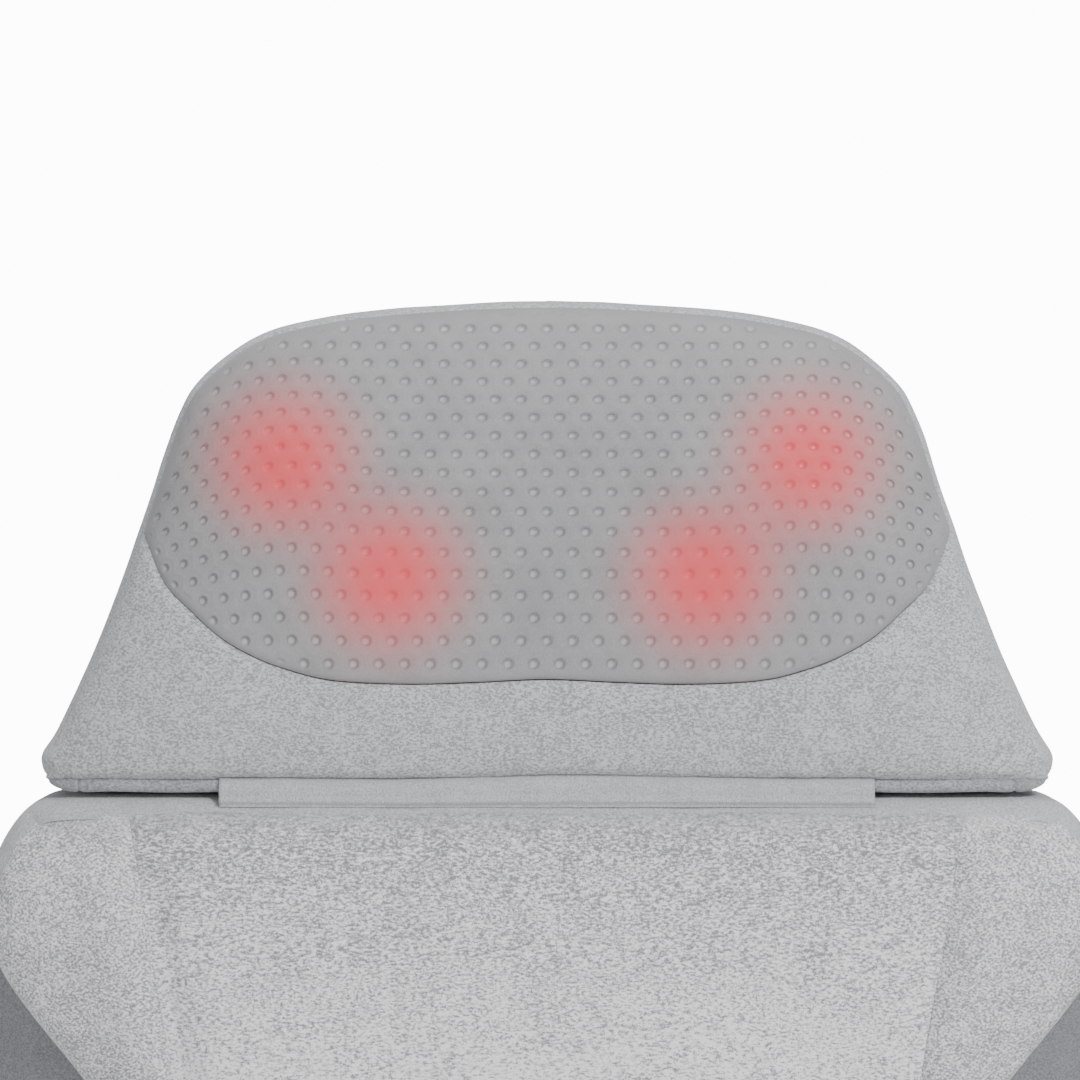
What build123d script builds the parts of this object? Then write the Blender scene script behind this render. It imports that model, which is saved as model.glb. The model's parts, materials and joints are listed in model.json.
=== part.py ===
from build123d import *
import math
import os

# Shiatsu neck massager: a bell-shaped padded neck unit, hinged by a fabric flap on top of a back cushion.
# Millimetres. X to the right, Y to the back, Z up. The front faces -Y.
# Origin: centre of the bounding box, on the floor that the cushion stands on.

# ---------------------------------------------------------------- driving dimensions
cushion_width = 480
cushion_height = 220
cushion_rear_y = 53.5
neck_half_width = 211
neck_height = 203.5
neck_gap = 1  # rest gap between the neck unit and the cushion
neck_bottom_z = cushion_height + neck_gap
seam_height = 5.5  # front bottom seam of the neck unit, above its bottom
cover_thickness = 2.5
clearance = 0.3

# rotating arms and node heads
arm_x = 85
arm_z = neck_bottom_z + seam_height + 106
node_radius = 31.5
node_angle = 48
head_radius = 21
window_radius = 55

# worm drive
module = 1.0
wheel_teeth = 40
wheel_radius = module * wheel_teeth / 2
worm_pitch_radius = 4.25
worm_length = 20
worm_core_radius = 4.1
worm_eccentricity = 1.1
gear_y = 10
wheel_width = 10
shaft_radius = 2.5
output_radius = 4
running_clearance = 0.05
worm_z = arm_z - wheel_radius - worm_pitch_radius

# hard case
case_front_y = -31
case_back_y = 40
wall = 2.5
case_inset = 17  # from the outline of the neck unit

# control pod on the rear of the neck unit
pod_x = 110
pod_z = neck_bottom_z + 52
pod_width = 56
pod_height = 26
pod_face_y = 59
jack_x = pod_x - 13
button_x = pod_x + 13

# hinge flap and cushion fittings
flap_width = 267
strap_z = 140
strap_width = 38
zip_z = 60
zip_length = 260
slider_x = -zip_length / 2 + 12

# soft bodies: depth at the front and rear, and how far their edges round over
neck_front_y = -60
neck_rear_y = 57.5
cushion_front_y = -56
front_round = 24
rear_round = 20


# ---------------------------------------------------------------- helpers
def xz_plane(y):
    """Plane facing -Y at depth y, with local x to the right and local y up."""
    return Plane.XZ.offset(-y)


def y_cylinder(radius, y0, y1, x=0, z=0):
    return Pos(x, (y0 + y1) / 2, z) * Rot(90, 0, 0) * Cylinder(radius, y1 - y0)


def x_cylinder(radius, x0, x1, y=0, z=0):
    return Pos((x0 + x1) / 2, y, z) * Rot(0, 90, 0) * Cylinder(radius, x1 - x0)


def block(x0, x1, y0, y1, z0, z1):
    return Pos((x0 + x1) / 2, (y0 + y1) / 2, (z0 + z1) / 2) * Box(x1 - x0, y1 - y0, z1 - z0)


def slab(sketch_wire, y0, y1):
    """Prism of an outline in XZ between two depths; y1 is the rear."""
    face = make_face(sketch_wire)
    return extrude(xz_plane(y1) * face, amount=y1 - y0)


def mirrored(shape):
    return mirror(shape, about=Plane.YZ)


def group(*shapes):
    solids = [solid for shape in shapes for solid in shape.solids()]
    return Compound(children=solids)


# ---------------------------------------------------------------- outlines
def rounded_outline(corners, radii):
    """Closed face in local x and height, with each corner rounded."""
    return make_face(FilletPolyline(*corners, radius=radii, close=True))


def bell_face(inset=0):
    """Outline of the neck unit: flared sides, round shoulders, a gently bowed top."""
    base, top = neck_bottom_z, neck_bottom_z + neck_height
    right = [(neck_half_width + 5, base), (167, base + 117), (147, top - 14), (60, top)]
    left = [(-x, z) for x, z in reversed(right)]
    face = rounded_outline(right + left, [11, 250, 38, 300, 300, 38, 250, 11])
    return offset(face, amount=-inset) if inset else face


def cushion_face(inset=0):
    """Outline of the back cushion, carried on below the floor so that its bottom is cut flat."""
    half = cushion_width / 2
    right = [(half - 6, -60), (half, 110), (half - 10, cushion_height - 2), (100, cushion_height)]
    left = [(-x, z) for x, z in reversed(right)]
    face = rounded_outline(right + left, [30, 500, 52, 300, 300, 52, 500, 30])
    return offset(face, amount=-inset) if inset else face


def soft_body(face_of, front_y, rear_y, inset=0):
    """Stuffed body: the outline given depth, with its front and rear edges rounded over."""
    body = extrude(xz_plane(rear_y - inset) * face_of(inset), amount=rear_y - front_y - 2 * inset)
    front_edges = body.faces().sort_by(Axis.Y)[0].edges()
    body = fillet(front_edges, front_round - inset)
    rear_edges = body.faces().sort_by(Axis.Y)[-1].edges()
    return fillet(rear_edges, rear_round - inset)


def neck_body(inset=0):
    return soft_body(bell_face, neck_front_y, neck_rear_y, inset)


def cushion_body(inset=0):
    body = soft_body(cushion_face, cushion_front_y, cushion_rear_y, inset)
    return body - block(-300, 300, -100, 100, -100, inset)


def panel_edge():
    """Lower edge of the dimpled panel, from tip to tip, as points above the neck unit's bottom seam."""
    half = [(57, 38.5), (87, 40), (120, 50), (142, 67.5), (160, 90)]
    left = [(-x, h) for x, h in reversed(half)]
    base = neck_bottom_z + seam_height
    return [(x, base + h) for x, h in left + [(0, 40.4)] + half]


def panel_prism():
    """Everything in front that lies above the panel's lower edge."""
    edge = panel_edge()
    curve = Spline(*edge)
    low_right = (230, edge[-1][1] + 22)
    high_right = (230, neck_bottom_z + 240)
    frame = Polyline(edge[-1], low_right, high_right, (-230, high_right[1]), (-230, low_right[1]), edge[0])
    wire = Wire([curve.edge()] + frame.edges())
    return slab(wire, -80, -37)


# ---------------------------------------------------------------- neck unit, covers and padding
def neck_cover_pieces(pod_hole):
    shell = neck_body() - neck_body(cover_thickness)
    seam_z = neck_bottom_z + seam_height
    above = block(-250, 250, -100, 100, seam_z, seam_z + 250)
    below = block(-250, 250, -100, 100, seam_z - 50, seam_z)
    upper = shell & above
    front = upper & block(-250, 250, -100, -37, seam_z, seam_z + 250)
    panel = front & panel_prism()
    return {
        "dimple_panel": panel,
        "neck_lower_front": front - panel_prism(),
        "neck_gusset": upper & block(-250, 250, -37, 32, seam_z, seam_z + 250),
        "neck_rear_cover": (upper & block(-250, 250, 32, 100, seam_z, seam_z + 250)) - pod_hole,
        "neck_bottom_cover": shell & below,
    }


def case_slab(y0, y1, inset=0):
    """Prism of the case's outline between two depths, drawn in by inset."""
    return extrude(xz_plane(y1) * bell_face(case_inset + inset), amount=y1 - y0)


def neck_foam(pod_hole):
    """Dish of foam round the case, open at the front where the node heads work."""
    body = neck_body(cover_thickness + clearance)
    return body - case_slab(-70, case_back_y + clearance, -clearance) - pod_hole


def windows(y0, y1):
    return [y_cylinder(window_radius, y0, y1, x, arm_z) for x in (-arm_x, arm_x)]


def front_foam_sheet():
    sheet = case_slab(-40, case_front_y - wall - clearance, 1)
    return sheet - windows(-50, 0) - [y_cylinder(3.5, -50, 0, x, z) for x, z in case_screw_places()]


def front_frame():
    plate = case_slab(case_front_y - wall, case_front_y)
    return plate - windows(-50, 0) - [y_cylinder(1.75, -50, 0, x, z) for x, z in case_screw_places()]


def case_screw_places():
    low = neck_bottom_z + 34
    return [(0, low), (0, neck_bottom_z + 171), (-148, low + 4), (148, low + 4), (-75, low), (75, low)]


def gear_screw_places(side):
    """The four screws of one gearbox; side is 1 on the right and -1 on the left."""
    xs = (side * arm_x - 22, side * arm_x + 22)
    return [(x, z) for x in xs for z in (worm_z - 10, arm_z + 22)]


def motor_screw_places():
    return [(0, worm_z + 24), (0, worm_z - 24)]


def board_post_places():
    return [(x, neck_bottom_z + h) for x in (-26, 26) for h in (122, 156)]


def rear_shell():
    inner_y = case_back_y - wall
    shell = case_slab(case_front_y, case_back_y) - case_slab(case_front_y - 1, inner_y, wall)
    for x, z in case_screw_places():
        shell += y_cylinder(4, case_front_y, inner_y, x, z)
        shell -= y_cylinder(1.3, case_front_y, case_front_y + 16, x, z)
    for x, z in board_post_places():
        shell += y_cylinder(3, 31, inner_y, x, z)
    for x, z in gear_screw_places(1) + gear_screw_places(-1) + motor_screw_places():
        shell -= y_cylinder(1.5, inner_y - 1, case_back_y + 1, x, z)
    shell -= y_cylinder(5, inner_y - 1, case_back_y + 1, pod_x, pod_z)  # wires to the pod
    return shell


def case_screws():
    screws = []
    for x, z in case_screw_places():
        head = y_cylinder(3, case_front_y - wall - 2, case_front_y - wall, x, z)
        screws.append(head + y_cylinder(1.3, case_front_y - wall, case_front_y + 14, x, z))
    return group(*screws)


# ---------------------------------------------------------------- gearboxes
def gearbox_block(side, y0, y1):
    x0, x1 = side * arm_x - 27, side * arm_x + 27
    body = block(x0, x1, y0, y1, worm_z - 15, arm_z + 27)
    return fillet(body.edges().filter_by(Axis.Y), 6)


def gearbox_cavity(side):
    """Room for the wheel, the worm, its two bushes, the motor shaft and the screws."""
    x = side * arm_x
    room = y_cylinder(wheel_radius + 2.5, gear_y - 7.5, gear_y + 7.5, x, arm_z)
    room += x_cylinder(7.5, x - 13, x + 13, gear_y, worm_z)
    room += x_cylinder(5, x - 20, x + 20, gear_y, worm_z)
    room += x_cylinder(3.2, x - 30, x + 30, gear_y, worm_z)
    room += y_cylinder(6, gear_y - 20, gear_y + 20, x, arm_z)
    return room


def gearbox_half(side, y0, y1):
    half = gearbox_block(side, y0, y1) - gearbox_cavity(side)
    return half - [y_cylinder(1.5, -30, 50, x, z) for x, z in gear_screw_places(side)]


def gearbox_base(side):
    base = gearbox_half(side, gear_y, 25)
    for x, z in gear_screw_places(side):
        post = y_cylinder(4, 25, case_back_y - wall, x, z) - y_cylinder(1.5, 20, 50, x, z)
        base += post
    return base


def gearbox_cover(side):
    return gearbox_half(side, -5, gear_y)


def gearbox_screws():
    screws = []
    for x, z in gear_screw_places(1) + gear_screw_places(-1):
        screws.append(y_cylinder(2.8, -7.2, -5, x, z) + y_cylinder(1.5, -5, case_back_y - 0.5, x, z))
    return group(*screws)


def output_bushes():
    bushes = []
    for x in (-arm_x, arm_x):
        for y0 in (-5, 18):
            sleeve = y_cylinder(6, y0, y0 + 7, x, arm_z)
            bushes.append(sleeve - y_cylinder(output_radius + running_clearance, y0 - 1, y0 + 8, x, arm_z))
    return group(*bushes)


def worm_bushes():
    bushes = []
    for middle in (-arm_x, arm_x):
        for x0 in (middle - 19, middle + 14):
            sleeve = x_cylinder(5, x0, x0 + 5, gear_y, worm_z)
            bore = x_cylinder(shaft_radius + running_clearance, x0 - 1, x0 + 6, gear_y, worm_z)
            bushes.append(sleeve - bore)
    return group(*bushes)


def slip_rings():
    rings = []
    for x in (-arm_x, arm_x):
        disc = y_cylinder(16, -6.6, -5, x, arm_z) - y_cylinder(6.5, -7, -4, x, arm_z)
        rings.append(disc)
    return group(*rings)


# ---------------------------------------------------------------- motor
def motor_can():
    can = x_cylinder(18, -29, 29, gear_y, worm_z) + x_cylinder(7, -32, 32, gear_y, worm_z)
    can -= x_cylinder(16.4, -26, 26, gear_y, worm_z)
    return can - x_cylinder(shaft_radius + running_clearance, -40, 40, gear_y, worm_z)


def motor_clamp():
    """Saddle on the rear wall, with a strap over the motor."""
    back = case_back_y - wall
    body = block(-11, 11, gear_y - 21, back, worm_z - 21, worm_z + 21)
    feet = block(-11, 11, back - 4, back, worm_z - 29, worm_z + 29)
    body = body + feet - x_cylinder(18.05, -20, 20, gear_y, worm_z)
    return body - [y_cylinder(1.5, 20, 50, x, z) for x, z in motor_screw_places()]


def motor_screws():
    back = case_back_y - wall
    screws = []
    for x, z in motor_screw_places():
        screws.append(y_cylinder(2.4, back - 6.2, back - 4, x, z) + y_cylinder(1.5, back - 4, back + 2, x, z))
    return group(*screws)


def motor_shaft():
    return x_cylinder(shaft_radius, -arm_x - 20, arm_x + 20, gear_y, worm_z)


def motor_armature():
    core = x_cylinder(11, -16, 14, gear_y, worm_z) + x_cylinder(6, 14, 22, gear_y, worm_z)
    return core - x_cylinder(shaft_radius, -30, 30, gear_y, worm_z)


def worm():
    """Right-hand worm: a round bar set off its axis and twisted once every circular pitch."""
    turns = worm_length / (math.pi * module)
    start = -180 * turns
    offset = Vector(worm_eccentricity, 0, 0).rotate(Axis.Z, start)
    wire = Wire(Edge.make_circle(worm_core_radius, Plane(origin=offset)))
    thread = Solid.extrude_linear_with_rotation(wire, (0, 0, 0), (0, 0, worm_length), 360 * turns)
    thread = thread - Cylinder(shaft_radius, 3 * worm_length)
    return Pos(arm_x - worm_length / 2, gear_y, worm_z) * Rot(0, 90, 0) * thread


# ---------------------------------------------------------------- arms
def worm_wheel():
    """Wheel with slanted teeth; one tooth points down, into the worm."""
    slant = math.degrees(wheel_width * module / (2 * worm_pitch_radius) / wheel_radius)
    root, tip = wheel_radius - 1.05, wheel_radius + 0.75
    points = []
    for tooth in range(wheel_teeth):
        middle = 90 - slant / 2 + 360 * tooth / wheel_teeth
        for radius, half in ((root, 1.0), (tip, 0.24), (tip, -0.24), (root, -1.0)):
            angle = math.radians(middle - math.degrees(half / radius))
            points.append((radius * math.cos(angle), radius * math.sin(angle)))
    outline = Polyline(*points, close=True)
    rim = Solid.extrude_linear_with_rotation(Wire(outline.edges()), (0, 0, 0), (0, 0, wheel_width), slant)
    wheel = rim - Pos(0, 0, wheel_width / 2) * Cylinder(output_radius, 3 * wheel_width)
    for angle in range(0, 360, 60):
        wheel -= Rot(0, 0, angle) * Pos(11.5, 0, wheel_width / 2) * Cylinder(3, 2 * wheel_width)
    return Pos(arm_x, gear_y - wheel_width / 2, arm_z) * Rot(-90, 0, 0) * wheel


def node_places():
    """Node centres of the right arm, upper one first."""
    places = []
    for direction in (1, -1):
        x = arm_x + direction * node_radius * math.cos(math.radians(node_angle))
        z = arm_z + direction * node_radius * math.sin(math.radians(node_angle))
        places.append((x, z))
    return places


def output_shaft():
    shaft = y_cylinder(output_radius, -18, 27, arm_x, arm_z)
    return shaft + y_cylinder(6, 25.3, 27, arm_x, arm_z)


def arm_plate():
    plate = y_cylinder(11, -18, -14, arm_x, arm_z)
    for x, z in node_places():
        plate += y_cylinder(10, -18, -14, x, z)
    beam = Box(2 * node_radius, 4, 20)
    plate += Pos(arm_x, -16, arm_z) * Rot(0, -node_angle, 0) * beam
    plate += y_cylinder(8.5, -14, -9, arm_x, arm_z)
    plate -= y_cylinder(output_radius, -20, 0, arm_x, arm_z)
    return plate - [y_cylinder(3, -20, -10, x, z) for x, z in node_places()]


def node_axles():
    """Pins riveted to the plate, with a collar behind each hub and a riveted head in front."""
    axles = []
    for x, z in node_places():
        pin = y_cylinder(3, -42, -14, x, z) + y_cylinder(4.5, -20, -18, x, z)
        axles.append(pin + y_cylinder(5, -38, -36.4, x, z))
    return group(*axles)


def led_boards():
    boards = []
    for x, z in node_places():
        board = y_cylinder(10, -43.4, -42, x, z)
        for angle in range(0, 360, 120):
            dx = 6 * math.cos(math.radians(angle))
            dz = 6 * math.sin(math.radians(angle))
            board += y_cylinder(1.5, -45.4, -43.4, x + dx, z + dz)
        boards.append(board)
    return group(*boards)


def node_hub(x, z):
    hub = y_cylinder(18.5, -24, -20.4, x, z) + y_cylinder(7, -36, -24, x, z)
    return hub - y_cylinder(3 + running_clearance, -50, 0, x, z)


def node_cap(x, z):
    """Translucent dome, hollow, closed behind by the hub."""
    rise = 30

    def dome(radius, height):
        curve = Spline((0, height), (radius, 0), tangents=[(1, 0), (0, -1)])
        sides = Polyline((radius, 0), (0, 0), (0, height))
        return revolve(make_face(Wire([curve.edge()] + sides.edges())), Axis.Y)

    cap = dome(head_radius, rise) - dome(head_radius - 2, rise - 2)
    foot = Pos(0, -1.8, 0) * Rot(90, 0, 0) * (Cylinder(head_radius, 3.6) - Cylinder(18.5, 3.6))
    return Pos(x, -24, z) * Rot(0, 0, 180) * (cap + foot)


# ---------------------------------------------------------------- electrics
def control_board():
    low = neck_bottom_z + 116
    board = block(-31, 31, 29.4, 31, low, low + 46)
    board += block(-12, 2, 18, 29.4, low + 10, low + 24)
    board += block(10, 26, 22, 29.4, low + 6, low + 14)
    board += block(-28, -20, 24, 29.4, low + 19, low + 32)
    board += y_cylinder(5, 16, 29.4, 10, low + 34)
    return board


def wiring():
    """Leads from the board to the two slip rings, each on two gentle bends."""
    wires = []
    low = neck_bottom_z + 116
    for side in (-1, 1):
        route = [
            (side * 19, 27.5, low + 36),
            (side * 30, 10, low + 42),
            (side * 46, -2, low + 40),
            (side * 62, -7.5, low + 26),
        ]
        path = FilletPolyline(*route, radius=8)
        section = Plane(origin=path @ 0, z_dir=path % 0) * Circle(1)
        wires.append(sweep(section, path=path))
    return group(*wires)


def pod_cut():
    """Opening for the pod through the foam and the rear cover."""
    x, z = pod_width / 2 + clearance, pod_height / 2 + clearance
    return block(pod_x - x, pod_x + x, case_back_y - 1, 70, pod_z - z, pod_z + z)


def control_pod():
    x, z = pod_width / 2, pod_height / 2
    body = block(pod_x - x, pod_x + x, case_back_y, 56, pod_z - z, pod_z + z)
    front = pod_face_y - 3.2
    flange = block(pod_x - x, pod_x + x, 56, pod_face_y, pod_z - z, pod_z + z)
    body = fillet((body + flange).edges().filter_by(Axis.Y), 5)
    body -= block(pod_x - x + 3, pod_x + x - 3, case_back_y - 1, front, pod_z - z + 3, pod_z + z - 3)
    body -= y_cylinder(5.05, 50, 70, jack_x, pod_z) + y_cylinder(7.05, pod_face_y - 1.2, 70, jack_x, pod_z)
    return body - y_cylinder(6.15, 50, 70, button_x, pod_z)


def power_inlet():
    jack = y_cylinder(5, 45, 59, jack_x, pod_z) + y_cylinder(7, pod_face_y - 1.2, 60, jack_x, pod_z)
    jack -= y_cylinder(2.85, 50, 61, jack_x, pod_z)
    return jack + y_cylinder(1, 49, 58.5, jack_x, pod_z)


def inlet_nut():
    face_y = pod_face_y - 3.2
    hexagon = extrude(xz_plane(face_y) * Pos(jack_x, pod_z) * RegularPolygon(7.5, 6), amount=3)
    return hexagon - y_cylinder(5, 40, 70, jack_x, pod_z)


def power_button():
    """Round cap with a collar behind the pod's face and a stem towards the switch."""
    collar_y = pod_face_y - 3.2
    cap = y_cylinder(6, collar_y - 1.5, 60, button_x, pod_z)
    return cap + y_cylinder(7.5, collar_y - 2, collar_y - 0.1, button_x, pod_z)


def power_switch():
    return block(button_x - 6, button_x + 6, 44, 52, pod_z - 6, pod_z + 6)


# ---------------------------------------------------------------- hinge flap and cushion
def hinge_flap():
    profile = Polyline((-52.2, 227), (-50.4, 220), (-49.6, 213), (-51, 213), (-51.8, 220), (-53.6, 227), close=True)
    face = Plane.YZ.offset(-flap_width / 2) * make_face(profile)
    return extrude(face, amount=flap_width)


def cushion_cover_pieces():
    shell = cushion_body() - cushion_body(cover_thickness)
    front = shell & block(-300, 300, -100, -40, -50, 300)
    middle = slab(Wire(Polyline((-148, -10), (148, -10), (174, 230), (-174, 230), close=True).edges()), -100, 100)
    return {
        "cushion_front_panel": front & middle,
        "cushion_wings": front - middle,
        "cushion_gusset": shell & block(-300, 300, -40, 32, -50, 300),
        "cushion_rear_cover": shell & block(-300, 300, 32, 100, -50, 300),
    }


def chair_strap():
    """Webbing band across the rear, sewn down at both ends."""
    y0 = cushion_rear_y + 0.2
    return block(-165, 165, y0, y0 + 2, strap_z - strap_width / 2, strap_z + strap_width / 2)


def zip_track():
    """Tape with its closed row of teeth."""
    half = zip_length / 2
    tape = block(-half, half, cushion_rear_y + 0.02, cushion_rear_y + 0.6, zip_z - 8, zip_z + 8)
    teeth = block(-half, half, cushion_rear_y + 0.6, cushion_rear_y + 2, zip_z - 2, zip_z + 2)
    return tape + teeth


def zip_slider():
    y = cushion_rear_y
    body = block(slider_x - 6, slider_x + 6, y + 0.9, y + 3.6, zip_z - 5, zip_z + 5)
    body = fillet(body.edges().filter_by(Axis.Y), 2)
    body -= block(slider_x - 10, slider_x + 10, y, y + 2.3, zip_z - 2.3, zip_z + 2.3)
    for x in (slider_x - 4.2, slider_x + 3):
        body += block(x, x + 1.2, y + 3.6, y + 5.6, zip_z - 1.2, zip_z + 1.2)
    return body + x_cylinder(0.7, slider_x - 4, slider_x + 4, y + 4.8, zip_z)


def zip_pull():
    y = cushion_rear_y + 4.8
    tab = block(slider_x - 2.6, slider_x + 2.6, y - 0.7, y + 0.7, zip_z - 22, zip_z)
    tab += x_cylinder(1.15, slider_x - 2.6, slider_x + 2.6, y, zip_z)
    tab -= x_cylinder(0.75, slider_x - 4, slider_x + 4, y, zip_z)
    return tab - block(slider_x - 1.2, slider_x + 1.2, y - 2, y + 2, zip_z - 19, zip_z - 9)


# ---------------------------------------------------------------- all pieces
pieces = neck_cover_pieces(pod_cut())
pieces |= {
    "neck_foam": neck_foam(pod_cut()),
    "front_foam_sheet": front_foam_sheet(),
    "rear_shell": rear_shell(),
    "front_frame": front_frame(),
    "case_screws": case_screws(),
    "gearbox_screws": gearbox_screws(),
    "output_bushes": output_bushes(),
    "worm_bushes": worm_bushes(),
    "slip_rings": slip_rings(),
    "motor_can": motor_can(),
    "motor_clamp": motor_clamp(),
    "motor_screws": motor_screws(),
    "motor_shaft": motor_shaft(),
    "motor_armature": motor_armature(),
    "control_board": control_board(),
    "wiring": wiring(),
    "control_pod": control_pod(),
    "power_inlet": power_inlet(),
    "inlet_nut": inlet_nut(),
    "power_button": power_button(),
    "power_switch": power_switch(),
    "hinge_flap": hinge_flap(),
    "chair_strap": chair_strap(),
    "zip_track": zip_track(),
    "zip_slider": zip_slider(),
    "zip_pull": zip_pull(),
}
for side_name, side in (("left", -1), ("right", 1)):
    pieces[side_name + "_gearbox_base"] = gearbox_base(side)
    pieces[side_name + "_gearbox_cover"] = gearbox_cover(side)

right_arm = {
    "worm": worm(),
    "worm_wheel": worm_wheel(),
    "output_shaft": output_shaft(),
    "arm_plate": arm_plate(),
    "node_axles": node_axles(),
    "led_boards": led_boards(),
}
for level, (node_x, node_z) in zip(("upper", "lower"), node_places()):
    right_arm[level + "_node_hub"] = node_hub(node_x, node_z)
    right_arm[level + "_node_cap"] = node_cap(node_x, node_z)
for name, shape in right_arm.items():
    pieces["right_" + name] = shape
    pieces["left_" + name] = mirrored(shape)

pieces |= cushion_cover_pieces()
pieces["cushion_core"] = cushion_body(cover_thickness + clearance)

os.makedirs("parts", exist_ok=True)
for name, shape in pieces.items():
    export_step(shape, f"parts/{name}.step")
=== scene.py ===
import json
import math

import bmesh
import bpy
import numpy as np
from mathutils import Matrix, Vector

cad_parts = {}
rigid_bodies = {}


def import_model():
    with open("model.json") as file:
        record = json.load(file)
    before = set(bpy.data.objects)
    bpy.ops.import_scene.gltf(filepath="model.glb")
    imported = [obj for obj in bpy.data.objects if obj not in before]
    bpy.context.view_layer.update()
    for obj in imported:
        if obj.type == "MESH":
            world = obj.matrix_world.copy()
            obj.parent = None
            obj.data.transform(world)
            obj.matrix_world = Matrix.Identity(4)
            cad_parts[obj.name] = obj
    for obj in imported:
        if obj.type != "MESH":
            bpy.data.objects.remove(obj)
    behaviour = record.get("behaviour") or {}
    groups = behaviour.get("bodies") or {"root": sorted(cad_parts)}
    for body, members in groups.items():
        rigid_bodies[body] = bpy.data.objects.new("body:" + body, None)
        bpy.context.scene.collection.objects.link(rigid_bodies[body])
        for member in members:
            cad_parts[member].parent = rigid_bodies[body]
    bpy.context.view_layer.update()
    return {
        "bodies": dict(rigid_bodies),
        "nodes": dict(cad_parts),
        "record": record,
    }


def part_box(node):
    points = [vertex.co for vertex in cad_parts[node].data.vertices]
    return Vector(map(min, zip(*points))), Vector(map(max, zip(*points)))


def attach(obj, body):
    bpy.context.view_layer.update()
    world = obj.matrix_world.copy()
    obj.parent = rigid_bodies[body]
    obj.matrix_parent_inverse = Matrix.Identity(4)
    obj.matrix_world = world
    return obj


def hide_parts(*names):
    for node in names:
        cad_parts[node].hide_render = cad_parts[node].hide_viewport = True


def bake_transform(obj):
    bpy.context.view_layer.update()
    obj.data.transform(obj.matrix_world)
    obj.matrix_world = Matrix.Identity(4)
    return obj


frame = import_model()

MM = 0.001


def corners(node):
    """Lower and upper corner of a CAD node's box, in millimetres."""
    return [np.array(corner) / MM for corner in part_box(node)]


# ------------------------------ places, in millimetres, from the frame
SEAM_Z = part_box("neck_gusset")[0].z / MM  # front bottom seam of the neck unit
CUSHION_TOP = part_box("cushion_gusset")[1].z / MM
FLAP_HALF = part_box("hinge_flap")[1].x / MM
REAR_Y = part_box("cushion_rear_cover")[1].y / MM
FRAME_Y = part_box("front_frame")[0].y / MM
POD_LOW, POD_HIGH = corners("control_pod")
POD_MIDDLE = (POD_LOW + POD_HIGH) / 2

# Outlines, right half from the top centre to the bottom centre: x, then height above the seam (BELL)
# or above the floor (CUSHION).
BELL = [
    (0, 196.8), (60, 194), (95, 189.5), (121, 182), (143, 165.5), (154, 148), (165, 115.5), (176.5, 82),
    (189.5, 49), (203, 20), (209.5, 9.5), (210, 4), (207, -1.5), (199, -5), (180, -5.5), (90, -5.5),
    (0, -5.5),
]
CUSHION = [
    (0, 220), (90, 220), (165, 219.9), (196, 219.4), (209, 217), (218, 210.5), (226, 199), (233, 180),
    (238, 150), (239.5, 100), (237, 50), (233, 16), (229, 6), (220, 0.6), (180, 0), (90, 0), (0, 0),
]
# Lower edge of the dimpled panel, right half from the middle to the tip: x, height above the seam.
PANEL_EDGE = [
    (0, 40.4), (30, 39.2), (57, 38.5), (87, 40), (106, 44.5), (120, 50), (133, 57.5), (145, 68),
    (156.5, 80), (166, 101),
]


# ------------------------------ curves and distances
def through(points, count, closed=False):
    """Catmull-Rom curve through the points, resampled to even steps."""
    p = np.array(points, float)
    if closed:
        p = np.vstack([p[-1], p, p[0], p[1]])
    else:
        p = np.vstack([2 * p[0] - p[1], p, 2 * p[-1] - p[-2]])
    t = np.linspace(0, 1, 24, endpoint=False)[:, None]
    runs = []
    for a, b, c, d in zip(p, p[1:], p[2:], p[3:]):
        runs.append(
            0.5 * (2 * b + (c - a) * t + (2 * a - 5 * b + 4 * c - d) * t**2 + (3 * b - a - 3 * c + d) * t**3)
        )
    dense = np.vstack(runs + [p[-2:-1]])
    return evenly(dense, count)


def evenly(line, count):
    """The same line with points at even steps along it."""
    steps = np.linalg.norm(np.diff(line, axis=0), axis=1)
    along = np.concatenate([[0], np.cumsum(steps)])
    wanted = np.linspace(0, along[-1], count)
    return np.column_stack([np.interp(wanted, along, line[:, k]) for k in range(line.shape[1])])


def whole(half, base_z, count):
    """Closed outline, clockwise from the top centre, out of its right half."""
    right = [(x, base_z + z) for x, z in half]
    left = [(-x, z) for x, z in right[-2:0:-1]]
    return through(right + left, count + 1, closed=True)[:-1]


def outward(outline):
    """Unit normals of a closed clockwise outline, pointing out."""
    tangent = np.roll(outline, -1, axis=0) - np.roll(outline, 1, axis=0)
    normal = np.column_stack([-tangent[:, 1], tangent[:, 0]])
    return normal / np.linalg.norm(normal, axis=1)[:, None]


def joined_up(line):
    return np.vstack([line, line[:1]])


def height_of(line, x):
    """Height of a line of the right half at each x, the same on the left."""
    line = line[np.argsort(line[:, 0])]
    return np.interp(np.abs(x), line[:, 0], line[:, 1])


def distance(x, z, line):
    """Distance of each point to a polyline."""
    best = np.full(np.shape(x), 1e9)
    for (ax, az), (bx, bz) in zip(line[:-1], line[1:]):
        dx, dz = bx - ax, bz - az
        length = dx * dx + dz * dz + 1e-12
        t = np.clip(((x - ax) * dx + (z - az) * dz) / length, 0, 1)
        best = np.minimum(best, (x - ax - t * dx) ** 2 + (z - az - t * dz) ** 2)
    return np.sqrt(best)


def rounding(d, reach):
    """Quarter-round profile: 0 at the edge, rising steeply, 1 from the given reach on."""
    t = np.clip(d / reach, 0, 1)
    return np.sqrt(1 - (1 - t) ** 2)


def smooth(t):
    """Soft step: 0 below 0, 1 above 1."""
    t = np.clip(t, 0, 1)
    return t * t * (3 - 2 * t)


def hump(away, height, width):
    """Bell curve over the distance from a line or a place; a seam's groove is one in depth."""
    return height * np.exp(-((away / width) ** 2))


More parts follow.
